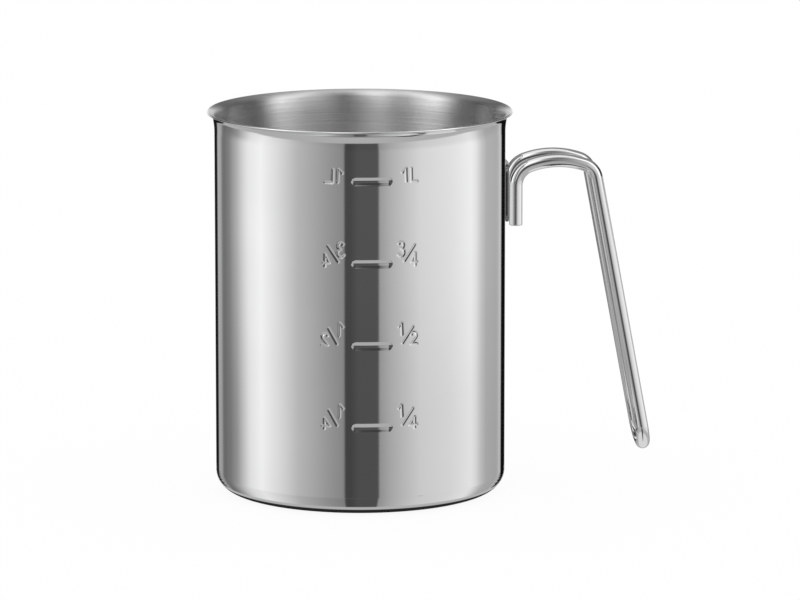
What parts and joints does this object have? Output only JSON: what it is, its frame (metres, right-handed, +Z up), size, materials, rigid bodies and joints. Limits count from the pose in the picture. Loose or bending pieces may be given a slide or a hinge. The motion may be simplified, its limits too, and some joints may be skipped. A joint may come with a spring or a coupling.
{
  "type": "measuring jug",
  "caption": "Straight stainless steel measuring jug with a flared pouring rim, a volume scale pressed into its wall and an open bent-wire handle on a welded saddle plate.",
  "frame": {"origin": "centre of the base's underside, on the cup's axis and on the table", "axes": "+Z up along the cup's axis, +X from the axis towards the handle, -Y roughly towards the scale"},
  "size_m": [0.1618, 0.1106, 0.139],
  "materials": {
    "cup_steel": "mirror polished outside, satin brushed round the inside",
    "plate_steel": "satin, darkened",
    "handle_steel": "polished",
    "weld_steel": "dull, rippled"
  },
  "bodies": {
    "root": {"cup": "cup_steel", "handle_plate": "plate_steel", "handle_wire": "handle_steel", "leg_welds": "weld_steel"}
  },
  "joints": []
}
